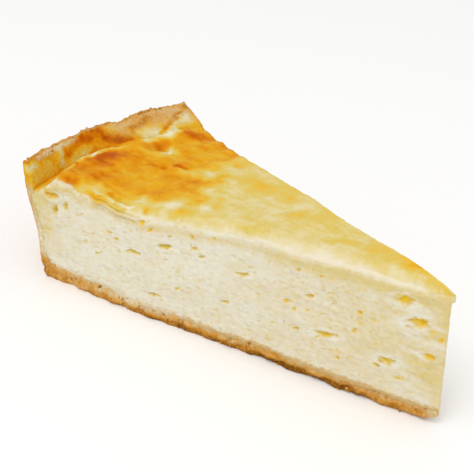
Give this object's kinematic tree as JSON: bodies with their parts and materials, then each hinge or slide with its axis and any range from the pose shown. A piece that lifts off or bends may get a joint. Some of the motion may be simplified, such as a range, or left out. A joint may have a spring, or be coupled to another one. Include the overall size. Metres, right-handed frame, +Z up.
{
  "type": "baked cheesecake",
  "caption": "Wedge-shaped slice of baked curd cheesecake: a shortcrust base, wall and rim in one piece around a tall filling with a browned skin.",
  "frame": {"origin": "middle of the bounding box in X and Y, on the plane the crust stands on", "axes": "+X towards the slice's tip, +Z up out of the crust, -Y out of one of the two cut faces"},
  "size_m": [0.1304, 0.0614, 0.0402],
  "materials": {
    "shortcrust": "dry, crumbly baked pastry, golden brown with darker edges",
    "curd_filling": "moist, finely porous cream-white curd with a golden browned skin on top"
  },
  "bodies": {
    "root": {"pastry_shell": "shortcrust", "filling": "curd_filling"}
  },
  "joints": []
}
